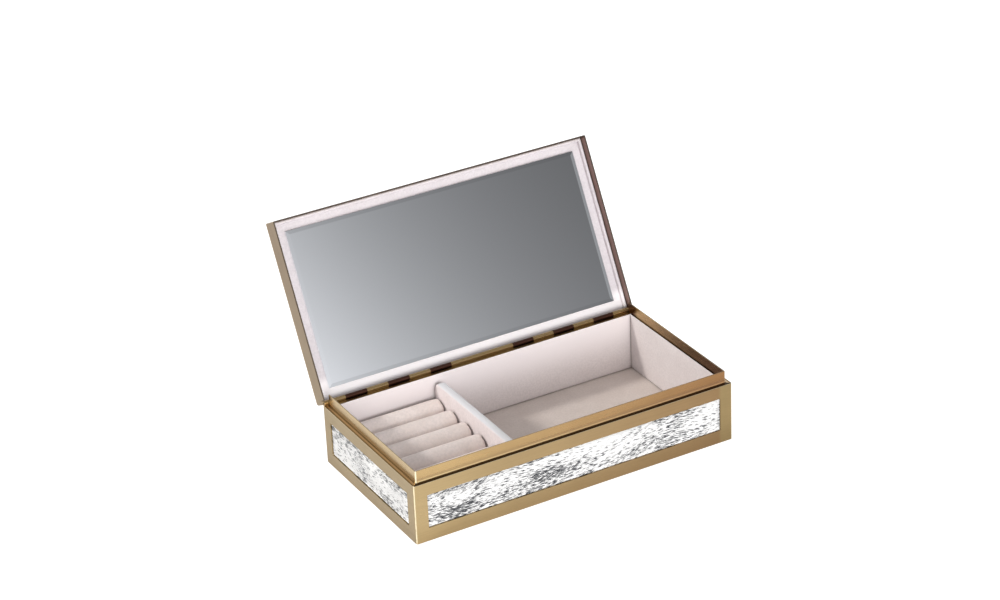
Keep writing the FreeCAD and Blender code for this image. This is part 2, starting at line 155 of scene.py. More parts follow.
def place(piece, body, slot, material, *replaced):
    """Give a piece its material and body and hide the CAD nodes that it stands for; slot is not used."""
    piece.data.materials.clear()
    piece.data.materials.append(material)
    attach(piece, body)
    if replaced:
        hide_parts(*replaced)
    return piece


# ------------------------------------------------------------------ material helpers
def add(tree, kind, inputs=None, **settings):
    """New shader node with its settings and inputs."""
    made = tree.nodes.new("ShaderNode" + kind)
    for key, value in settings.items():
        setattr(made, key, value)
    for key, value in (inputs or {}).items():
        if isinstance(value, bpy.types.NodeSocket):
            tree.links.new(value, made.inputs[key])
        else:
            made.inputs[key].default_value = value
    return made


def start_material(name, **values):
    """New material with one Principled shader, and that shader's constant values."""
    material = bpy.data.materials.new(name)
    material.use_nodes = True
    tree = material.node_tree
    shader = tree.nodes["Principled BSDF"]
    for key, value in values.items():
        shader.inputs[key.replace("_", " ")].default_value = value
    return material, tree, shader


def ramp(tree, factor, low, high, low_value=0.0, high_value=1.0):
    """Smooth step from one value to another as factor goes from low to high."""
    return add(tree, "MapRange", {
        "Value": factor,
        "From Min": low,
        "From Max": high,
        "To Min": low_value,
        "To Max": high_value,
    }, interpolation_type="SMOOTHSTEP").outputs["Result"]


def slope(tree, factor, low, high, low_value=0.0, high_value=1.0):
    """Straight ramp from one value to another, held constant outside."""
    return add(tree, "MapRange", {
        "Value": factor,
        "From Min": low,
        "From Max": high,
        "To Min": low_value,
        "To Max": high_value,
    }).outputs["Result"]


def mix_colour(tree, factor, first, second, blend_type="MIX"):
    """Mix of two colours, each a socket or a value."""
    made = add(tree, "Mix", data_type="RGBA", blend_type=blend_type)
    for index, value in ((0, factor), (6, first), (7, second)):
        if isinstance(value, bpy.types.NodeSocket):
            tree.links.new(value, made.inputs[index])
        else:
            made.inputs[index].default_value = value
    return made.outputs[2]


def calc(tree, operation, first, second=0.0, third=0.0):
    """One arithmetic step."""
    made = add(tree, "Math", operation=operation)
    for index, value in enumerate((first, second, third)):
        if isinstance(value, bpy.types.NodeSocket):
            tree.links.new(value, made.inputs[index])
        else:
            made.inputs[index].default_value = value
    return made.outputs[0]


def spot(tree, on_lid=False):
    """Place on the piece in the row frame; for the lid, the place it has when shut."""
    place_node = add(tree, "TexCoord").outputs["Object"]
    if not on_lid:
        return place_node
    turned = add(tree, "VectorRotate", {
        "Vector": place_node,
        "Center": HINGE_POINT,
        "Angle": OPEN_ANGLE,
    }, rotation_type="X_AXIS")
    return turned.outputs["Vector"]


def facing(tree, on_lid=False):
    """Direction a face looks in, in the row frame; for the lid, with the lid shut."""
    normal = add(tree, "TexCoord").outputs["Normal"]
    if not on_lid:
        return normal
    turned = add(tree, "VectorRotate", {"Vector": normal, "Angle": OPEN_ANGLE}, rotation_type="X_AXIS")
    return turned.outputs["Vector"]


def split(tree, vector):
    """X, Y and Z of a vector."""
    made = add(tree, "SeparateXYZ", {"Vector": vector})
    return made.outputs["X"], made.outputs["Y"], made.outputs["Z"]


def scaled_noise(tree, where, scale, detail=2.0, roughness=0.5):
    """Noise stretched by a scale per axis, in 1/m."""
    stretched = add(tree, "Mapping", {"Vector": where, "Scale": scale})
    texture = add(tree, "TexNoise", {
        "Vector": stretched.outputs["Vector"],
        "Scale": 1.0,
        "Detail": detail,
        "Roughness": roughness,
    })
    return texture.outputs["Fac"]


def dim(colour, factor):
    """A colour made darker."""
    return tuple(channel * factor for channel in colour[:3]) + (1.0,)


# ------------------------------------------------------------------ materials
# Brass: each part's own colour and patina, the painted shade and light that multiply it, and the painted
# shade and highlights laid over it
FRAME_BRASS = (0.44, 0.325, 0.168, 1.0)
# Painted shade: frames darker to the right, at the foot and on left-facing faces; painted light on the right
# posts of the front and back frames
FRAME_RIGHT_SHADE = (0.62, 0.53, 0.50, 1.0)
FRAME_FOOT_SHADE = (0.88, 0.86, 0.83, 1.0)
FRAME_LEFT_SHADE = (0.69, 0.69, 0.69, 1.0)
RIGHT_POST_LIGHT = (1.12, 1.28, 1.25, 1.0)
# Painted shade on the ledge tops under the collar, with a painted highlight stripe on the side ledges
LEDGE_SHADE = (0.045, 0.022, 0.003, 1.0)
SIDE_LEDGE_SHADE = (0.34, 0.24, 0.13, 1.0)
LEDGE_HIGHLIGHT = (0.72, 0.53, 0.33, 1.0)
COLLAR_BRASS = (0.50, 0.345, 0.165, 1.0)
COLLAR_MATT = (0.41, 0.27, 0.125, 1.0)
# Painted highlights on the front collar's foot and left corner, and painted shade towards its right end
COLLAR_FOOT_HIGHLIGHT = (0.72, 0.54, 0.28, 1.0)
COLLAR_CORNER_HIGHLIGHT = (0.90, 0.80, 0.58, 1.0)
COLLAR_RIGHT_SHADE = (0.58, 0.44, 0.40, 1.0)
COLLAR_LEFT_TINT = (0.97, 1.04, 1.20, 1.0)
# Painted shade on the right collar wall, towards the front and close to the hinge
COLLAR_INSIDE_SHADE = (0.26, 0.18, 0.15, 1.0)
COLLAR_HINGE_SHADE = (0.25, 0.16, 0.12, 1.0)
LID_BRASS = (0.36, 0.265, 0.145, 1.0)
# Painted shade: the lid's side walls use a darker copy of the lid brass
LID_SIDE_SHADED_BRASS = (0.245, 0.178, 0.102, 1.0)
# Painted shade on the lid: towards its far end, on its inner faces and on its rim
LID_FAR_SHADE = (0.88, 0.84, 0.84, 1.0)
LID_INNER_SHADE = (0.23, 0.145, 0.12, 1.0)
LID_RIM_SHADE = (0.12, 0.10, 0.08, 1.0)
HINGE_BRASS = (0.43, 0.30, 0.145, 1.0)
LID_HINGE_BRASS = (0.085, 0.04, 0.028, 1.0)
# Painted shade that ambient occlusion lays into creases and joints
BRASS_CREASE_SHADE = (0.035, 0.017, 0.004, 1.0)
# Painted highlights on rounded edges, for the base and collars and for the lid
BRIGHT_EDGE_HIGHLIGHT = (0.98, 0.86, 0.60, 1.0)
LID_EDGE_HIGHLIGHT = (0.5, 0.42, 0.31, 1.0)
PATINA = 0.76

# Velvet: colours, painted light and shade, and painted shade in the seams
BLUSH_COLOUR = (0.80, 0.73, 0.725, 1.0)
BLUSH_NAP = (0.74, 0.665, 0.66, 1.0)
# Painted light on the upper part of the back wall
BACK_TOP_LIGHT = (0.875, 0.815, 0.815, 1.0)
# Painted sheen on the divider's upper face
DIVIDER_TOP_SHEEN = (0.68, 0.675, 0.69, 1.0)
# Painted light on the lid lining below the mirror, and painted shade next to the hinge
LID_FOOT_LIGHT = (0.97, 0.925, 0.93, 1.0)
LID_HINGE_SHADE = (0.05, 0.035, 0.03, 1.0)
# Painted shade that ambient occlusion lays into velvet seams and hollows
VELVET_SEAM_SHADE = (0.16, 0.115, 0.09, 1.0)


class Brass:
    """Satin brass, brushed along one axis, with patina, painted shade in its creases and painted highlights
    on its rounded edges.
    """

    def __init__(self, name, colour, roughness, grain_axis=0, on_lid=False):
        self.material, self.tree, self.shader = start_material(name, Metallic=1.0)
        tree = self.tree
        self.where = spot(tree, on_lid)
        self.x, self.y, self.z = split(tree, self.where)
        self.nx, self.ny, self.nz = split(tree, facing(tree, on_lid))
        fine = [1500.0] * 3
        broad = [240.0] * 3
        fine[grain_axis] = 26.0
        broad[grain_axis] = 9.0
        self.fine = scaled_noise(tree, self.where, fine, 3.0)
        self.broad = scaled_noise(tree, self.where, broad, 2.0)
        self.patches = scaled_noise(tree, self.where, (24.0, 24.0, 24.0), 3.0, 0.6)
        dark = dim(colour, PATINA)
        toned = mix_colour(tree, ramp(tree, self.patches, 0.35, 0.75, 0.0, 0.35), colour, dark)
        self.colour = mix_colour(tree, ramp(tree, self.fine, 0.3, 0.75, 0.0, 0.25), toned, dark)
        self.roughness = roughness

    def tint(self, factor, colour):
        """Multiply by a colour where factor is 1."""
        self.colour = mix_colour(self.tree, factor, self.colour, colour, "MULTIPLY")
        return self

    def paint(self, factor, colour):
        """Replace by a colour where factor is 1."""
        self.colour = mix_colour(self.tree, factor, self.colour, colour)
        return self

    def finish(self, crease_shade=0.7, edge_highlight=0.85, edge_highlight_colour=BRIGHT_EDGE_HIGHLIGHT):
        """Painted shade in creases, painted highlights on rounded edges, roughness and relief."""
        tree = self.tree
        # Painted shade: creases and joints darkened by ambient occlusion
        hollow = add(tree, "AmbientOcclusion", {"Distance": 1.3 * MM}, samples=8)
        self.paint(ramp(tree, hollow.outputs["AO"], 0.15, 0.75, crease_shade, 0.0), BRASS_CREASE_SHADE)
        # Painted highlight along rounded edges, broken up by noise
        level = calc(tree, "MAXIMUM", calc(tree, "ABSOLUTE", self.nx), calc(tree, "ABSOLUTE", self.ny))
        level = calc(tree, "MAXIMUM", level, calc(tree, "ABSOLUTE", self.nz))
        edge = ramp(tree, level, 0.80, 0.985, edge_highlight, 0.0)
        ragged = ramp(tree, self.broad, 0.30, 0.50, 0.55, 1.0)
        self.paint(calc(tree, "MULTIPLY", edge, ragged), edge_highlight_colour)
        tree.links.new(self.colour, self.shader.inputs["Base Color"])
        rough = calc(tree, "MULTIPLY_ADD", self.fine, 0.16, self.roughness - 0.08)
        smudge = calc(tree, "MULTIPLY_ADD", self.patches, 0.14, -0.07)
        tree.links.new(calc(tree, "ADD", rough, smudge), self.shader.inputs["Roughness"])
        relief = calc(tree, "ADD", self.fine, calc(tree, "MULTIPLY", self.broad, 0.6))
        bump = add(tree, "Bump", {"Height": relief, "Strength": 0.18, "Distance": 0.05 * MM})
        tree.links.new(bump.outputs["Normal"], self.shader.inputs["Normal"])
        return self.material


def frame_brass(name, grain_axis, depth_axis, outer):
    """Brass of a base frame: painted shade to the right, at the foot, on left-facing faces and on the ledge
    top, painted light on the right posts of the front and back frames, and a painted highlight stripe on the
    side ledges.
    """
    brass = Brass(name, FRAME_BRASS, 0.32, grain_axis)
    tree = brass.tree
    is_side = depth_axis == 0
    # Painted shade to the right, at the foot and on left-facing faces, and painted light on the right post
    brass.tint(slope(tree, brass.x, CAD_LOW.x, CAD_HIGH.x), FRAME_RIGHT_SHADE)
    brass.tint(ramp(tree, brass.z, 18.0 * MM, 2.0 * MM), FRAME_FOOT_SHADE)
    brass.tint(ramp(tree, brass.nx, -0.4, -0.9), FRAME_LEFT_SHADE)
    if not is_side:
        brass.tint(ramp(tree, brass.x, CAD_HIGH.x - 12.0 * MM, CAD_HIGH.x - 8.5 * MM), RIGHT_POST_LIGHT)
    # Painted shade on the ledge top, and a painted highlight stripe on the side ledges
    looks_up = ramp(tree, brass.nz, 0.6, 0.95)
    on_ledge = calc(tree, "MULTIPLY", looks_up,
                    ramp(tree, brass.z, LEDGE_TOP - 1.2 * MM, LEDGE_TOP - 0.5 * MM))
    brass.paint(on_ledge, SIDE_LEDGE_SHADE if is_side else LEDGE_SHADE)
    if is_side:
        depth = calc(tree, "ABSOLUTE", calc(tree, "SUBTRACT", brass.x, outer))
        ledge_highlight_band = calc(tree, "MULTIPLY", ramp(tree, depth, 1.2 * MM, 1.6 * MM),
                      ramp(tree, depth, 3.0 * MM, 2.6 * MM))
        brass.paint(calc(tree, "MULTIPLY", ledge_highlight_band, on_ledge), LEDGE_HIGHLIGHT)
    return brass.finish(crease_shade=0.3 if is_side else 0.7)


def collar_brass(name, grain_axis, side):
    """Brass of a collar wall, warmer than the frames: the front has a matt lower band, painted highlights at
    its foot and left corner and painted shade to the right, the left wall is tinted cooler and the right wall
    carries painted shade.
    """
    brass = Brass(name, COLLAR_BRASS, 0.28, grain_axis)
    tree = brass.tree
    if side == "front":
        matt = ramp(tree, brass.z, LEDGE_TOP + 3.3 * MM, LEDGE_TOP + 1.8 * MM)
        brass.paint(matt, COLLAR_MATT)
        # Painted highlight along the foot, painted shade to the right and a painted highlight on the left
        # corner
        brass.paint(ramp(tree, brass.z, LEDGE_TOP + 1.3 * MM, LEDGE_TOP + 0.9 * MM), COLLAR_FOOT_HIGHLIGHT)
        brass.tint(slope(tree, brass.x, CAD_LOW.x + 27.0 * MM, CAD_HIGH.x), COLLAR_RIGHT_SHADE)
        brass.paint(ramp(tree, brass.x, CAD_LOW.x + 4.8 * MM, CAD_LOW.x + 4.3 * MM), COLLAR_CORNER_HIGHLIGHT)
        tree.links.new(calc(tree, "SUBTRACT", 1.0, matt), brass.shader.inputs["Metallic"])
    elif side == "left":
        brass.tint(1.0, COLLAR_LEFT_TINT)
    elif side == "right":
        # Painted shade on the right wall, towards the front and close to the hinge
        brass.tint(slope(tree, brass.y, BACK - 11.5 * MM, FRONT + 21.5 * MM), COLLAR_INSIDE_SHADE)
        brass.tint(ramp(tree, brass.y, BACK - 16.5 * MM, BACK - 10.5 * MM), COLLAR_HINGE_SHADE)
    return brass.finish(crease_shade=0.15 if side == "front" else 0.5, edge_highlight=0.6)


def lid_brass(name, grain_axis, side):
    """Brass of a lid part: painted shade towards the far end, on the inner faces and on the rim, and for the
    side walls a darker starting colour.
    """
    # Side walls start from the darker copy of the lid brass, painted shade
    colour = LID_SIDE_SHADED_BRASS if side in ("left", "right") else LID_BRASS
    brass = Brass(name, colour, 0.34, grain_axis, True)
    tree = brass.tree
    # Painted shade towards the far end, on the inner faces and on the rim
    brass.tint(slope(tree, brass.y, BACK - 6.5 * MM, FRONT + 6.5 * MM), LID_FAR_SHADE)
    if side == "left":
        brass.paint(ramp(tree, brass.x, CAD_LOW.x + 0.7 * MM, CAD_LOW.x + 0.9 * MM), LID_INNER_SHADE)
    elif side == "right":
        brass.paint(ramp(tree, brass.x, CAD_HIGH.x - 0.5 * MM, CAD_HIGH.x - 0.8 * MM), LID_INNER_SHADE)
    elif side == "front":
        brass.paint(ramp(tree, brass.nz, -0.4, -0.8), LID_INNER_SHADE)
    rim_shade = ramp(tree, brass.nz, -0.5, -0.9)
    brass.paint(calc(tree, "MULTIPLY", rim_shade, 0.75), LID_RIM_SHADE)
    return brass.finish(edge_highlight=0.3, edge_highlight_colour=LID_EDGE_HIGHLIGHT)


def velvet_material(name, colour, nap_colour, pile=2600.0, crease_shade=0.55, on_lid=False, shade=None):
    """Short-pile velvet: soft sheen, brushed patches of nap, a fine pile and painted shade in seams and
    hollows.
    """
    material, tree, shader = start_material(
        name, Roughness=0.92, Sheen_Weight=0.25, Sheen_Roughness=0.45,
        Sheen_Tint=(1.0, 0.96, 0.95, 1.0), Specular_IOR_Level=0.15)
    where = spot(tree, on_lid)
    nap = scaled_noise(tree, where, (75.0, 75.0, 75.0), 3.0, 0.6)
    streak = scaled_noise(tree, where, (60.0, 260.0, 260.0), 2.0)
    tufts = scaled_noise(tree, where, (pile,) * 3, 2.0)
    grain = scaled_noise(tree, where, (pile * 0.27,) * 3, 2.0)
    toned = mix_colour(tree, ramp(tree, nap, 0.32, 0.72, 0.0, 0.7), colour, nap_colour)
    toned = mix_colour(tree, ramp(tree, streak, 0.4, 0.8, 0.0, 0.22), toned, nap_colour)
    toned = mix_colour(tree, ramp(tree, tufts, 0.35, 0.7, 0.0, 0.30), toned, dim(colour, 0.80))
    toned = mix_colour(tree, ramp(tree, grain, 0.36, 0.66, 0.0, 0.45), toned, dim(colour, 0.80))
    if shade:
        toned = shade(tree, where, toned)
    # Painted shade: seams and hollows darkened by ambient occlusion
    hollow = add(tree, "AmbientOcclusion", {"Distance": 4.5 * MM}, samples=8).outputs["AO"]
    toned = mix_colour(tree, ramp(tree, hollow, 0.10, 0.80, crease_shade, 0.0), toned, VELVET_SEAM_SHADE)
    tree.links.new(toned, shader.inputs["Base Color"])
    height = calc(tree, "ADD", calc(tree, "ADD", tufts, grain), calc(tree, "MULTIPLY", nap, 0.8))
    bump = add(tree, "Bump", {"Height": height, "Strength": 0.5, "Distance": 0.12 * MM})
    tree.links.new(bump.outputs["Normal"], shader.inputs["Normal"])
    return material


def mirror_material():
    """Silvered glass with the faint haze of handling."""
    material, tree, shader = start_material(
        "mirror_glass", Metallic=1.0, Base_Color=(0.90, 0.92, 0.94, 1.0))
    haze = scaled_noise(tree, spot(tree), (28.0, 28.0, 28.0), 4.0, 0.6)
    tree.links.new(ramp(tree, haze, 0.3, 0.9, 0.012, 0.05), shader.inputs["Roughness"])
    return material


def hair_material():
    """Single hairs: white to charcoal by each hair's own tone."""
    material, tree, shader = start_material(
        "hide_hair", Roughness=0.5, Specular_IOR_Level=0.35, Sheen_Weight=0.2)
    tone = add(tree, "Attribute", attribute_name="tone").outputs["Fac"]
    strand = scaled_noise(tree, spot(tree), (500.0, 500.0, 500.0), 2.0)
    white = mix_colour(tree, strand, (0.98, 0.975, 0.965, 1.0), (0.86, 0.85, 0.84, 1.0))
    toned = mix_colour(tree, tone, white, (0.030, 0.032, 0.040, 1.0))
    tree.links.new(toned, shader.inputs["Base Color"])
    return material


def skin_material():
    """Leather under the hair, mottled like the coat above it."""
    material, tree, shader = start_material("hide_skin", Roughness=0.7, Specular_IOR_Level=0.25)
    mottle = scaled_noise(tree, spot(tree), (160.0, 160.0, 160.0), 4.0)
    pores = scaled_noise(tree, spot(tree), (1400.0, 1400.0, 1400.0), 2.0)
    toned = mix_colour(tree, ramp(tree, mottle, 0.4, 0.7), (0.92, 0.91, 0.89, 1.0), (0.76, 0.75, 0.73, 1.0))
    tree.links.new(toned, shader.inputs["Base Color"])
    bump = add(tree, "Bump", {"Height": pores, "Strength": 0.4, "Distance": 0.1 * MM})
    tree.links.new(bump.outputs["Normal"], shader.inputs["Normal"])
    return material


def plain_material(name, colour, second, scale, roughness, bump_strength=0.3):
    """Matt stock for felt, board and lacquered plate: two mottled tones and a fine relief."""
    material, tree, shader = start_material(name, Specular_IOR_Level=0.3)
    mottle = scaled_noise(tree, spot(tree), (scale * 0.12,) * 3, 4.0)
    grit = scaled_noise(tree, spot(tree), (scale,) * 3, 3.0, 0.7)
    toned = mix_colour(tree, ramp(tree, mottle, 0.3, 0.7), colour, second)
    toned = mix_colour(tree, ramp(tree, grit, 0.4, 0.75, 0.0, 0.4), toned, second)
    tree.links.new(toned, shader.inputs["Base Color"])
    tree.links.new(ramp(tree, grit, 0.2, 0.8, roughness - 0.08, roughness + 0.08), shader.inputs["Roughness"])
    bump = add(tree, "Bump", {"Height": grit, "Strength": bump_strength, "Distance": 0.15 * MM})
    tree.links.new(bump.outputs["Normal"], shader.inputs["Normal"])
    return material


def shade_lid_lining(tree, where, toned):
    """Painted light on the lid's lining below the mirror, and painted shade close to the hinge."""
    _, y, _ = split(tree, where)
    # Painted light below the mirror, then painted shade next to the hinge
    toned = mix_colour(tree, ramp(tree, y, BACK - 20.5 * MM, BACK - 12.5 * MM), toned, LID_FOOT_LIGHT)
    return mix_colour(tree, ramp(tree, y, BACK - 4.5 * MM, BACK - 0.3 * MM, 0.0, 0.9), toned, LID_HINGE_SHADE)


def shade_back_lining(tree, where, toned):
    """Painted light on the back wall, growing towards its top."""
    _, _, z = split(tree, where)
    # Painted light towards the top of the back wall
    return mix_colour(tree, ramp(tree, z, 12.0 * MM, 38.0 * MM), toned, BACK_TOP_LIGHT)


def shade_divider(tree, _where, toned):
    """Painted sheen: the divider's upper face is given a cooler, greyer tone."""
    _, _, up = split(tree, facing(tree))
    return mix_colour(tree, ramp(tree, up, 0.35, 0.85), toned, DIVIDER_TOP_SHEEN)


BLUSH = velvet_material("velvet_blush", BLUSH_COLOUR, BLUSH_NAP)
# Painted light: the back wall's velvet is a lighter copy of the lining velvet
BACK_VELVET_LIT = velvet_material("velvet_back", (0.85, 0.79, 0.78, 1.0), (0.80, 0.735, 0.725, 1.0),
                              shade=shade_back_lining)
# Painted shade: darker copies of the lining velvet for the right wall and the floors
SIDE_VELVET_SHADED = velvet_material("velvet_side", (0.70, 0.645, 0.635, 1.0), (0.65, 0.585, 0.575, 1.0))
FLOOR_VELVET_SHADED = velvet_material("velvet_floor", (0.70, 0.62, 0.57, 1.0), (0.62, 0.535, 0.485, 1.0))
BEIGE = velvet_material("velvet_beige", (0.86, 0.765, 0.725, 1.0), (0.76, 0.655, 0.60, 1.0),
                        pile=1900.0, crease_shade=0.22)
LID_VELVET = velvet_material("velvet_lid", (0.765, 0.715, 0.735, 1.0), (0.71, 0.66, 0.675, 1.0),
                             crease_shade=0.12, on_lid=True, shade=shade_lid_lining)
DIVIDER_VELVET = velvet_material("velvet_divider", BLUSH_COLOUR, BLUSH_NAP,
                                 crease_shade=0.2, shade=shade_divider)
HAIR = hair_material()
SKIN = skin_material()


def dress_cad_nodes():
    """Finished materials on the CAD nodes that stay visible."""
    lid_finish = {side: lid_brass("brass_lid_" + side, 1 if side in ("left", "right") else 0, side)
                  for side in ("left", "right", "front", "back", "top")}
    board = plain_material("fibreboard", (0.36, 0.27, 0.18, 1.0), (0.25, 0.18, 0.12, 1.0), 900.0, 0.8)
    plate = plain_material("plate_lacquer", (0.03, 0.026, 0.022, 1.0), (0.05, 0.043, 0.036, 1.0),
                           1200.0, 0.45)
    felt = plain_material("felt_dark", (0.045, 0.04, 0.038, 1.0), (0.075, 0.066, 0.06, 1.0),
                          2200.0, 0.9, 0.8)
    hinge = Brass("brass_hinge", HINGE_BRASS, 0.28).finish(edge_highlight=0.0)
    finishes = {
        "frame_front": frame_brass("brass_frame_front", 0, 1, FRONT),
        "frame_back": frame_brass("brass_frame_back", 0, 1, BACK),
        "frame_left": frame_brass("brass_frame_left", 1, 0, CAD_LOW.x),
        "frame_right": frame_brass("brass_frame_right", 1, 0, CAD_HIGH.x),
        "collar_front": collar_brass("brass_collar_front", 0, "front"),
        "collar_left": collar_brass("brass_collar_left", 1, "left"),
        "collar_right": collar_brass("brass_collar_right", 1, "right"),
        "inner_wall_back": collar_brass("brass_inner_back", 0, "back"),
        "lid_top_frame": lid_finish["top"],
        "lid_side_front": lid_finish["front"],
        "lid_side_back": lid_finish["back"],
        "lid_side_left": lid_finish["left"],
        "lid_side_right": lid_finish["right"],
        "hinge_leaf_base": hinge,
        "hinge_pin": hinge,
        "hinge_leaf_lid": Brass("brass_hinge_lid", LID_HINGE_BRASS, 0.34, 0, True).finish(edge_highlight=0.0),
        "mirror": mirror_material(),
        "board_front": board,
        "board_back": board,
        "board_left": board,
        "board_right": board,
        "lid_board": board,
        "base_plate": plate,
        "base_felt": felt,
    }
    for name, material in finishes.items():
        for item in NODES[name].material_slots:
            item.material = material


# ------------------------------------------------------------------ velvet boards
def axis_cuts(low, high, radius, step, arc_steps=3):
    """Grid lines along one axis, closer together where an edge turns."""
    arc = []
    for index in range(arc_steps):
        turn = math.pi / 4 * (1 - index / arc_steps)
        arc.append(radius * (1 - math.tan(turn)))
    count = max(1, round((high - low - 2 * radius) / step))
    middle = [low + radius + (high - low - 2 * radius) * i / count for i in range(count + 1)]
    return [low + a for a in arc] + middle + [high - a for a in reversed(arc)]


def soft_board(name, low, high, radius, step=4.0 * MM, swell=0.12 * MM, seed=0.0):
    """Fabric-wrapped board: a closed box with rounded edges and a slightly uneven, swollen face."""
    cuts = [axis_cuts(low[i], high[i], radius, step) for i in range(3)]
    index_of = {}
    vertices = []
    faces = []

    def vertex(key):
        if key not in index_of:
            index_of[key] = len(vertices)
            vertices.append([cuts[i][key[i]] for i in range(3)])
        return index_of[key]

    last = [len(c) - 1 for c in cuts]
    for axis in range(3):
        u, v = (axis + 1) % 3, (axis + 2) % 3
        for side in (0, last[axis]):
            for i in range(last[u]):
                for j in range(last[v]):
                    corners = []
                    for du, dv in ((0, 0), (1, 0), (1, 1), (0, 1)):
                        key = [0, 0, 0]
                        key[axis] = side
                        key[u] = i + du
                        key[v] = j + dv
                        corners.append(vertex(tuple(key)))
                    faces.append(corners if side else corners[::-1])
    points = np.array(vertices)
    inner_low = np.array(low) + radius
    inner_high = np.array(high) - radius
    core = np.clip(points, inner_low, inner_high)
    away = points - core
    away /= np.linalg.norm(away, axis=1)[:, None]
    rounded = core + away * radius
    depth = np.minimum(core - inner_low, inner_high - core)
    flat_axes = np.array(high) - np.array(low) > 4 * radius
    room = np.where(flat_axes, depth, 1.0).min(axis=1)
    for i, point in enumerate(rounded):
        wave = noise.noise(Vector(point) * 45.0 + Vector((seed, 0.0, seed)))
        puff = min(1.0, room[i] / (6.0 * MM))
        rounded[i] = point + away[i] * swell * (wave * 0.8 + puff * 0.6 - 0.6)
    return add_object(name, rounded, faces)


def lay_linings():
    """Velvet boards on the walls and floors of the base."""
    gaps = {
        "lining_left": (Vector((1, 0, 0)), Vector()),
        "lining_right": (Vector(), Vector((-1, 0, 0))),
        "lining_front": (Vector((0, 1, 0)), Vector()),
        "lining_back": (Vector(), Vector((0, -1, 0))),
    }
    for seed, (name, (shift_low, shift_high)) in enumerate(gaps.items()):
        low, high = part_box(name)
        board = soft_board("velvet_" + name, low + shift_low * LINING_GAP,
                           high + shift_high * LINING_GAP, LINING_EDGE, seed=seed * 3.7)
        # Back wall in the lighter velvet copy (painted light), right wall in the darker one (painted shade)
        velvet = {"lining_back": BACK_VELVET_LIT, "lining_right": SIDE_VELVET_SHADED}.get(name, BLUSH)
        place(board, "base", "velvet_lining", velvet, name)
    for seed, name in enumerate(("floor_lining_rings", "floor_lining_main")):
        low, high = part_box(name)
        # Floors in the darker velvet copy, painted shade
        board = soft_board("velvet_" + name, low, high, LINING_EDGE, 5.0 * MM, 0.25 * MM, 20.0 + seed)
        place(board, "base", "velvet_lining", FLOOR_VELVET_SHADED, name)


def rolled_border(name, path, radius, top, bottom):
    """Cord-like fabric edge with a half-round crest below, swept along a path with mitred corners."""
    arc_steps = 8
    section = [(radius, top)]
    for step in range(arc_steps + 1):
        angle = math.pi * step / arc_steps
        section.append((radius * math.cos(angle), bottom + radius - radius * math.sin(angle)))
    section.append((-radius, top))
    count = len(section)
    vertices = []
    for index, point in enumerate(path):
        before = (point - path[max(index - 1, 0)]).normalized()
        after = (path[min(index + 1, len(path) - 1)] - point).normalized()
        ahead = (before + after).normalized()
        side = Vector((ahead.y, -ahead.x, 0.0))
        stretch = 1.0 / max(0.6, ahead.dot(after if index == 0 else before))
        uneven = 0.12 * MM * noise.noise(point * 90.0)
        for across, up in section:
            crest = uneven if up < top else 0.0
            vertices.append(Vector((point.x, point.y, up + crest)) + side * across * stretch)
    faces = [tuple(range(count)), tuple(range(len(vertices) - count, len(vertices)))]
    for ring in range(len(path) - 1):
        for step in range(count):
            first = ring * count + step
            second = ring * count + (step + 1) % count
            faces.append((first, first + count, second + count, second))
    edge = add_object(name, vertices, faces)
    work = bmesh.new()
    work.from_mesh(edge.data)
    bmesh.ops.recalc_face_normals(work, faces=work.faces)
    work.to_mesh(edge.data)
    work.free()
    return edge


def line_lid():
    """Velvet board and its rolled edge inside the lid, built with the lid shut and turned open."""
    low, high = closed_box("lid_lining")
    level = high.z - LID_SHEET
    inset = Vector((0.05 * MM, 0.05 * MM, 0.0))
    board = soft_board("velvet_lid_lining", Vector((low.x, low.y, level)) + inset, high - inset,
                       0.5 * MM, 5.0 * MM, 0.2 * MM, 31.0)
    board.data.transform(OPEN)
    place(board, "lid", "velvet_lining", LID_VELVET, "lid_lining")
    radius = LID_BORDER_WIDTH / 2
    left, right, front = low.x + radius, high.x - radius, low.y + radius
    back = high.y - LID_BORDER_BACK_GAP
    turns = ((left, back), (left, front), (right, front), (right, back))
    corners = [Vector((x, y, 0.0)) for x, y in turns]
    path = [corners[0]]
    for start, end in zip(corners, corners[1:]):
        steps = round((end - start).length / LID_BORDER_STEP)
        path += [start.lerp(end, step / steps) for step in range(1, steps + 1)]
    edge = rolled_border("velvet_lid_edge", path, radius, level + 0.3 * MM, low.z + 0.12 * MM)
    edge.data.transform(OPEN)
    place(edge, "lid", "velvet_lining", LID_VELVET)


# ------------------------------------------------------------------ padded pieces
def welded_copy(name, node_name, shrink):
    """Closed copy of a CAD node's mesh, a little smaller, at simulation scale."""
    low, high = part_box(node_name)
    centre = (low + high) / 2
    size = high - low
    factor = Vector([(size[i] - 2 * shrink) / size[i] for i in range(3)])
    mesh = NODES[node_name].data.copy()
    work = bmesh.new()
    work.from_mesh(mesh)
    bmesh.ops.remove_doubles(work, verts=work.verts, dist=1e-6)
    for vertex in work.verts:
        offset = vertex.co - centre
        vertex.co = Vector([offset[i] * factor[i] for i in range(3)]) * SIM_SCALE
    work.to_mesh(mesh)
    work.free()
    mesh.materials.clear()
    piece = bpy.data.objects.new(name, mesh)
    bpy.context.scene.collection.objects.link(piece)
    return piece


def bake_modifiers(piece):
    """Replace the mesh with its evaluated shape and drop the modifiers."""
    graph = bpy.context.evaluated_depsgraph_get()
    shaped = bpy.data.meshes.new_from_object(piece.evaluated_get(graph))
    piece.modifiers.clear()
    piece.data = shaped


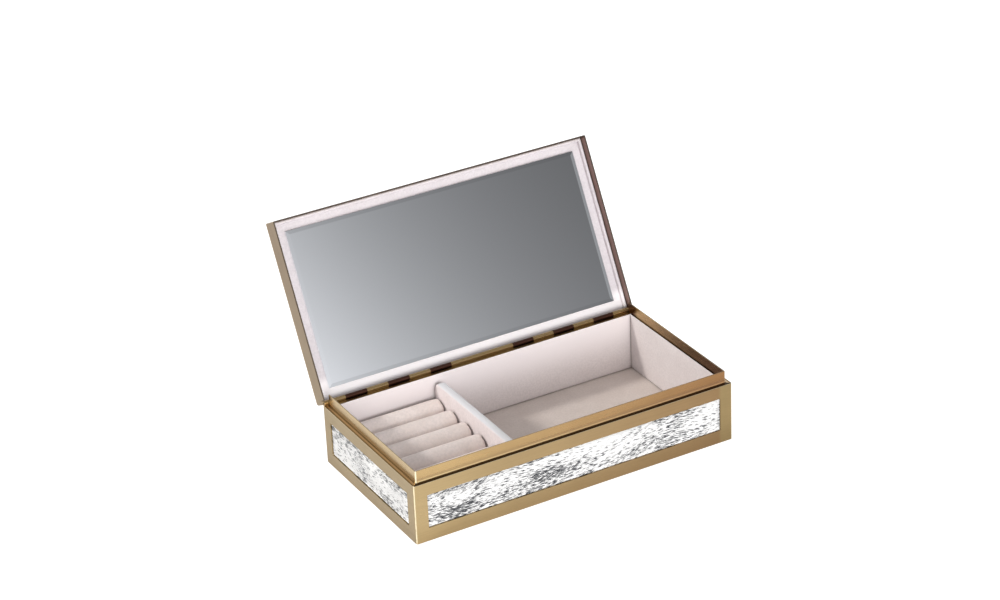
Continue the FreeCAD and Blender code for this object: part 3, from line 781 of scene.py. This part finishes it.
def swell_with_cloth(piece, cap, seed):
    """Let the cover swell under pressure as cloth, with each point's travel capped."""
    rest = np.array([v.co for v in piece.data.vertices])
    cloth = piece.modifiers.new("Cloth", "CLOTH")
    settings = cloth.settings
    settings.quality = 5
    settings.mass = 0.2
    settings.use_pressure = True
    settings.uniform_pressure_force = CLOTH_PRESSURE
    settings.tension_stiffness = 12.0
    settings.compression_stiffness = 12.0
    settings.shear_stiffness = 6.0
    settings.bending_stiffness = 0.4
    settings.effector_weights.gravity = 0.0
    held = piece.vertex_groups.new(name="held")
    floor = rest[:, 2].min()
    height = rest[:, 2].max() - floor
    base_points = [i for i, p in enumerate(rest) if p[2] < floor + HELD_SHARE * height]
    held.add(base_points, 1.0, "REPLACE")
    settings.vertex_group_mass = "held"
    for step in range(1, CLOTH_FRAMES + 1):
        bpy.context.scene.frame_set(step)
    bake_modifiers(piece)
    bpy.context.scene.frame_set(1)
    moved = np.array([v.co for v in piece.data.vertices])
    travel = moved - rest
    length = np.linalg.norm(travel, axis=1)[:, None] + 1e-12
    limit = cap * SIM_SCALE
    travel *= np.minimum(1.0, limit / length)
    shaped = rest + travel
    for i, point in enumerate(shaped):
        wave = noise.noise(Vector(point) * 2.2 + Vector((seed * 5.1, seed, 0.0)))
        shaped[i] = point + travel[i] / limit * wave * 0.18 * MM * SIM_SCALE
    piece.data.vertices.foreach_set("co", shaped.astype(np.float32).ravel())


def fit_to_box(piece, node_name):
    """Scale a simulated piece back to metres so that it fills its CAD node's box."""
    low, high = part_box(node_name)
    points = np.array([v.co for v in piece.data.vertices])
    shape_low, shape_high = points.min(0), points.max(0)
    scale = (np.array(high) - np.array(low)) / (shape_high - shape_low)
    points = (points - shape_low) * scale + np.array(low)
    piece.data.vertices.foreach_set("co", points.astype(np.float32).ravel())


def padded_piece(node_name, material, slot, voxel, shrink, cap, seed):
    """Foam piece in velvet: remeshed from its CAD solid, swollen as cloth and smoothed."""
    piece = welded_copy("padded_" + node_name, node_name, shrink)
    remesh = piece.modifiers.new("Remesh", "REMESH")
    remesh.mode = "VOXEL"
    remesh.voxel_size = voxel * SIM_SCALE
    relax = piece.modifiers.new("Relax", "SMOOTH")
    relax.iterations = 4
    relax.factor = 0.5
    bake_modifiers(piece)
    swell_with_cloth(piece, cap, seed)
    finer = piece.modifiers.new("Finer", "SUBSURF")
    finer.levels = 1
    finer.render_levels = 1
    bake_modifiers(piece)
    fit_to_box(piece, node_name)
    piece.data.polygons.foreach_set("use_smooth", [True] * len(piece.data.polygons))
    place(piece, "base", slot, material, node_name)
    return piece


def pad_interior():
    """Ring rolls and the divider."""
    bars = sorted(name for name in NODES if name.startswith("ring_bar_"))
    for seed, name in enumerate(bars):
        padded_piece(name, BEIGE, "velvet_rolls", 1.8 * MM, 0.45 * MM, 0.5 * MM, seed)
    padded_piece("divider", DIVIDER_VELVET, "velvet_lining", 1.5 * MM, 0.3 * MM, 0.35 * MM, 11.0)


# ------------------------------------------------------------------ hair-on-hide
def fleck_density(u, v, seed):
    """How much of the coat is dark at a place, from 0 to 1: drifting clusters with clear gaps."""
    drift = Vector((u * 21.0, (v - 0.13 * u) * 62.0, seed * 7.3))
    cloud = noise.noise(drift) + 0.45 * noise.noise(drift * 2.7)
    return min(1.0, max(0.0, 0.42 + cloud * 0.9))


def hair_tone(u, v, seed, pick):
    """Darkness of one hair: thin, sharp flecks inside the dark clusters."""
    tuft = Vector((u * 300.0, (v + 0.18 * u) * 1300.0, seed * 3.1 + 40.0))
    speck = noise.noise(tuft) + 0.35 * noise.noise(tuft * 2.1)
    reach = fleck_density(u, v, seed) * 0.66 - 0.42
    strength = (speck + reach) * 5.6 + (pick - 0.5) * 0.5
    return min(1.0, max(0.0, strength))


def bulge_height(u, v, half_u, half_v):
    """How far the hide stands out into its window at a place."""
    edge = min(half_u - abs(u), half_v - abs(v))
    rise = min(1.0, max(0.0, edge / HIDE_BULGE_RUN))
    return HIDE_BULGE * (rise * (2.0 - rise)) * 0.9 + 0.05 * MM


def hide_skin(name, to_world, panel_half, window_half, thickness):
    """Leather sheet that stands out slightly into its window."""
    count_u = round(2 * panel_half[0] / HIDE_STEP)
    count_v = round(2 * panel_half[1] / HIDE_STEP)
    points = []
    faces = []
    for layer in (0, 1):
        for j in range(count_v + 1):
            for i in range(count_u + 1):
                u = panel_half[0] * (2 * i / count_u - 1)
                v = panel_half[1] * (2 * j / count_v - 1)
                inside = abs(u) < window_half[0] and abs(v) < window_half[1]
                h = -thickness
                if layer:
                    h = bulge_height(u, v, *window_half) if inside else -0.02 * MM
                points.append(to_world @ Vector((u, v, h)))
    row = count_u + 1
    layer_size = row * (count_v + 1)
    for j in range(count_v):
        for i in range(count_u):
            a = j * row + i
            faces.append((a + row, a + row + 1, a + 1, a))
            b = a + layer_size
            faces.append((b, b + 1, b + row + 1, b + row))
    border = [i for i in range(row)]
    border += [j * row + count_u for j in range(1, count_v + 1)]
    border += [count_v * row + i for i in range(count_u - 1, -1, -1)]
    border += [j * row for j in range(count_v - 1, 0, -1)]
    for k, a in enumerate(border):
        b = border[(k + 1) % len(border)]
        faces.append((a, b, b + layer_size, a + layer_size))
    return add_object(name, points, faces)


def hide_fur(name, to_world, window_half, seed, per_mm2):
    """Short flat-lying hairs over a window, each a tapering blade with its own tone."""
    rng = np.random.default_rng(int(seed * 100) + 7)
    reach_u = window_half[0] + 0.4 * MM
    reach_v = window_half[1] + 0.2 * MM
    count = int(4 * reach_u * reach_v / MM ** 2 * per_mm2)
    roots = rng.uniform((-reach_u, -reach_v), (reach_u, reach_v), (count, 2))
    picks = rng.uniform(0.0, 1.0, (count, 5))
    points = []
    faces = []
    tones = []
    for (u, v), (pick, spread, size, lift, wide) in zip(roots, picks):
        flow = noise.noise(Vector((u * 22.0, v * 60.0, seed)))
        angle = 0.16 + flow * 0.38 + (spread - 0.5) * 0.36
        length = HAIR_LENGTH[0] + size * (HAIR_LENGTH[1] - HAIR_LENGTH[0])
        half = (HAIR_WIDTH[0] + wide * (HAIR_WIDTH[1] - HAIR_WIDTH[0])) / 2
        along = Vector((math.cos(angle), math.sin(angle), 0.0))
        across = Vector((-along.y, along.x, 0.0))
        tone = hair_tone(u + along.x * length * 0.3, v, seed, pick)
        base = Vector((u, v, 0.0)) - along * length * 0.45
        heights = (0.02 + 0.10 * lift, 0.30 + 0.34 * lift, 0.20 + 0.62 * lift * spread)
        first = len(points)
        for share, width, height in ((0.0, 0.75, heights[0]), (0.5, 1.0, heights[1])):
            centre = base + along * length * share
            level = bulge_height(centre.x, centre.y, *window_half) + height * MM
            for sign in (-1.0, 1.0):
                edge_point = centre + across * half * width * sign
                edge_point.z = level + (HAIR_TILT if sign > 0 else 0.0)
                points.append(to_world @ edge_point)
        tip = base + along * length
        tip.z = bulge_height(tip.x, tip.y, *window_half) + heights[2] * MM
        points.append(to_world @ tip)
        faces.append((first, first + 1, first + 3, first + 2))
        faces.append((first + 2, first + 3, first + 4))
        tones += [tone, tone, tone, tone, tone * 0.7]
    fur = add_object(name, points, faces)
    attribute = fur.data.attributes.new("tone", "FLOAT", "POINT")
    attribute.data.foreach_set("value", np.array(tones, np.float32))
    return fur


def panel_matrix(origin, along, up, outward):
    """Matrix from panel coordinates (along, up, outward) to the row frame."""
    matrix = Matrix((along, up, outward)).transposed().to_4x4()
    matrix.translation = origin
    return matrix


def cover_with_hide():
    """Hide and fur in the four base windows and the lid's window."""
    x, y, z = Vector((1, 0, 0)), Vector((0, 1, 0)), Vector((0, 0, 1))
    sides = {
        "front": (-y, x, z),
        "back": (y, -x, z),
        "left": (-x, -y, z),
        "right": (x, y, z),
    }
    for seed, (side, (outward, along, up)) in enumerate(sides.items()):
        node_name = "hide_panel_" + side
        low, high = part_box(node_name)
        centre = (low + high) / 2
        size = high - low
        half_u = abs(size.dot(along)) / 2
        half_v = abs(size.dot(up)) / 2
        thickness = abs(size.dot(outward))
        to_world = panel_matrix(centre + outward * thickness / 2, along, up, outward)
        window = (half_u - PANEL_OVERLAP, half_v - PANEL_OVERLAP)
        build_hide(side, "base", node_name, to_world, (half_u, half_v), window, thickness, seed + 1.3,
                   HAIR_PER_MM2)
    low, high = closed_box("lid_hide_panel")
    frame_low, frame_high = closed_box("lid_top_frame")
    centre = (low + high) / 2
    thickness = high.z - low.z
    flat = panel_matrix(Vector((centre.x, centre.y, high.z)), x, y, z)
    half = ((high.x - low.x) / 2, (high.y - low.y) / 2)
    window = ((frame_high.x - frame_low.x) / 2 - LID_WINDOW_MARGIN,
              (frame_high.y - frame_low.y) / 2 - LID_WINDOW_MARGIN)
    build_hide("lid", "lid", "lid_hide_panel", OPEN @ flat, half, window, thickness, 9.6,
               LID_HAIR_PER_MM2)


def build_hide(side, body, node_name, to_world, panel_half, window_half, thickness, seed, per_mm2):
    """Skin and fur of one window."""
    skin = hide_skin("hide_skin_" + side, to_world, panel_half, window_half, thickness)
    place(skin, body, "hair_on_hide", SKIN, node_name)
    fur = hide_fur("hide_fur_" + side, to_world, window_half, seed, per_mm2)
    place(fur, body, "hair_on_hide", HAIR)


# ------------------------------------------------------------------ camera, floor and light
def add_camera():
    """Camera at the reference view."""
    data = bpy.data.cameras.new("camera")
    data.lens = CAMERA_LENS
    data.sensor_width = SENSOR_WIDTH
    data.clip_end = 50.0
    camera = bpy.data.objects.new("camera", data)
    bpy.context.scene.collection.objects.link(camera)
    look = CAMERA_AIM - CAMERA_PLACE
    turn = look.to_track_quat("-Z", "Y").to_matrix().to_4x4()
    roll = Matrix.Rotation(CAMERA_ROLL, 4, "Z")
    camera.matrix_world = Matrix.Translation(CAMERA_PLACE) @ turn @ roll
    bpy.context.scene.camera = camera


def add_floor():
    """Wide white sweep just under the box, lit through like a light table."""
    corners = [(FLOOR_HALF * x, FLOOR_HALF * y, 0) for x, y in ((-1, -1), (1, -1), (1, 1), (-1, 1))]
    floor = add_object("floor", corners, [(0, 1, 2, 3)])
    floor.location.z = -FLOOR_DROP
    material, _, _ = start_material("floor_paper", Base_Color=(0.45, 0.45, 0.45, 1.0), Roughness=0.9,
                                    Specular_IOR_Level=0.1, Emission_Color=(1.0, 1.0, 1.0, 1.0),
                                    Emission_Strength=FLOOR_GLOW)
    floor.data.materials.append(material)


def add_far_light(name, came_from, angle, power, colour):
    """Distant soft light seen under an angle."""
    data = bpy.data.lights.new(name, "SUN")
    data.energy = power
    data.angle = angle
    data.color = colour
    lamp = bpy.data.objects.new(name, data)
    bpy.context.scene.collection.objects.link(lamp)
    lamp.rotation_euler = came_from.to_track_quat("Z", "Y").to_euler()


def mirrored_look(point, normal):
    """Direction in which the camera's view leaves a mirror at a point."""
    look = (point - CAMERA_PLACE).normalized()
    return look - 2 * look.dot(normal) * normal


def add_sky():
    """Studio sky, brighter to the front, with one grey screen whose gradient the mirror shows."""
    low, high = closed_box("mirror")
    level = low.z
    middle = (low + high) / 2
    normal = (OPEN.to_3x3() @ Vector((0, 0, -1))).normalized()

    def seen_at(x, y):
        return mirrored_look(OPEN @ Vector((x, y, level)), normal)

    seen = seen_at(middle.x, middle.y)
    right = (seen_at(high.x, middle.y) - seen_at(low.x, middle.y)).normalized()
    upward = seen_at(middle.x, low.y) - seen_at(middle.x, high.y)
    upward = (upward - right * upward.dot(right)).normalized()
    right_ends = [seen_at(x, middle.y).dot(right) for x in (low.x, high.x)]
    up_ends = [seen_at(middle.x, y).dot(upward) for y in (high.y, low.y)]

    world = bpy.data.worlds.new("studio")
    world.use_nodes = True
    bpy.context.scene.world = world
    tree = world.node_tree
    direction = add(tree, "TexCoord").outputs["Generated"]

    def along(axis):
        return add(tree, "VectorMath", {0: direction, 1: axis}, operation="DOT_PRODUCT").outputs["Value"]

    def held(value, limits):
        return calc(tree, "MINIMUM", calc(tree, "MAXIMUM", value, limits[0]), limits[1])

    across = add(tree, "MapRange", {"Value": along(right), "From Min": right_ends[0],
                                    "From Max": right_ends[1], "To Min": -1.0, "To Max": 1.0}, clamp=False)
    above = add(tree, "MapRange", {"Value": along(upward), "From Min": up_ends[0],
                                   "From Max": up_ends[1], "To Min": -1.0, "To Max": 1.0}, clamp=False)
    across, above = across.outputs["Result"], above.outputs["Result"]
    fall_right = calc(tree, "MULTIPLY", held(across, SCREEN_RIGHT_LIMITS), SCREEN_FALL_RIGHT)
    fall_up = calc(tree, "MULTIPLY", held(above, SCREEN_UP_LIMITS), SCREEN_FALL_UP)
    fall = calc(tree, "EXPONENT", calc(tree, "ADD", fall_right, fall_up))
    screen = calc(tree, "MULTIPLY_ADD", fall, SCREEN_GAIN, SCREEN_BASE)
    lift_start, lift_end, lift = SCREEN_LIFT
    screen = calc(tree, "ADD", screen, ramp(tree, across, lift_start, lift_end, 0.0, lift))
    grey = mix_colour(tree, 1.0, add(tree, "CombineColor", {0: screen, 1: screen, 2: screen}).outputs[0],
                      SCREEN_TINT, "MULTIPLY")
    _, forward, height = split(tree, direction)
    sky = mix_colour(tree, ramp(tree, height, 0.15, 0.95), SKY_LOW, SKY_TOP)
    sky = mix_colour(tree, ramp(tree, forward, 0.1, -0.8, 0.0, 0.5), sky, SKY_FRONT)
    patch = ramp(tree, along(seen), math.cos(SCREEN_EDGE[0]), math.cos(SCREEN_EDGE[1]))
    background = tree.nodes["Background"]
    tree.links.new(mix_colour(tree, patch, sky, grey), background.inputs["Color"])
    background.inputs["Strength"].default_value = 1.0


# ------------------------------------------------------------------ build
dress_cad_nodes()
lay_linings()
line_lid()
pad_interior()
cover_with_hide()
add_camera()
add_floor()
add_far_light("key", KEY_FROM, KEY_ANGLE, KEY_POWER, KEY_COLOUR)
add_far_light("front", FRONT_FROM, FRONT_ANGLE, FRONT_POWER, (1.0, 1.0, 1.0))
add_sky()
bpy.context.scene.view_settings.view_transform = "Standard"
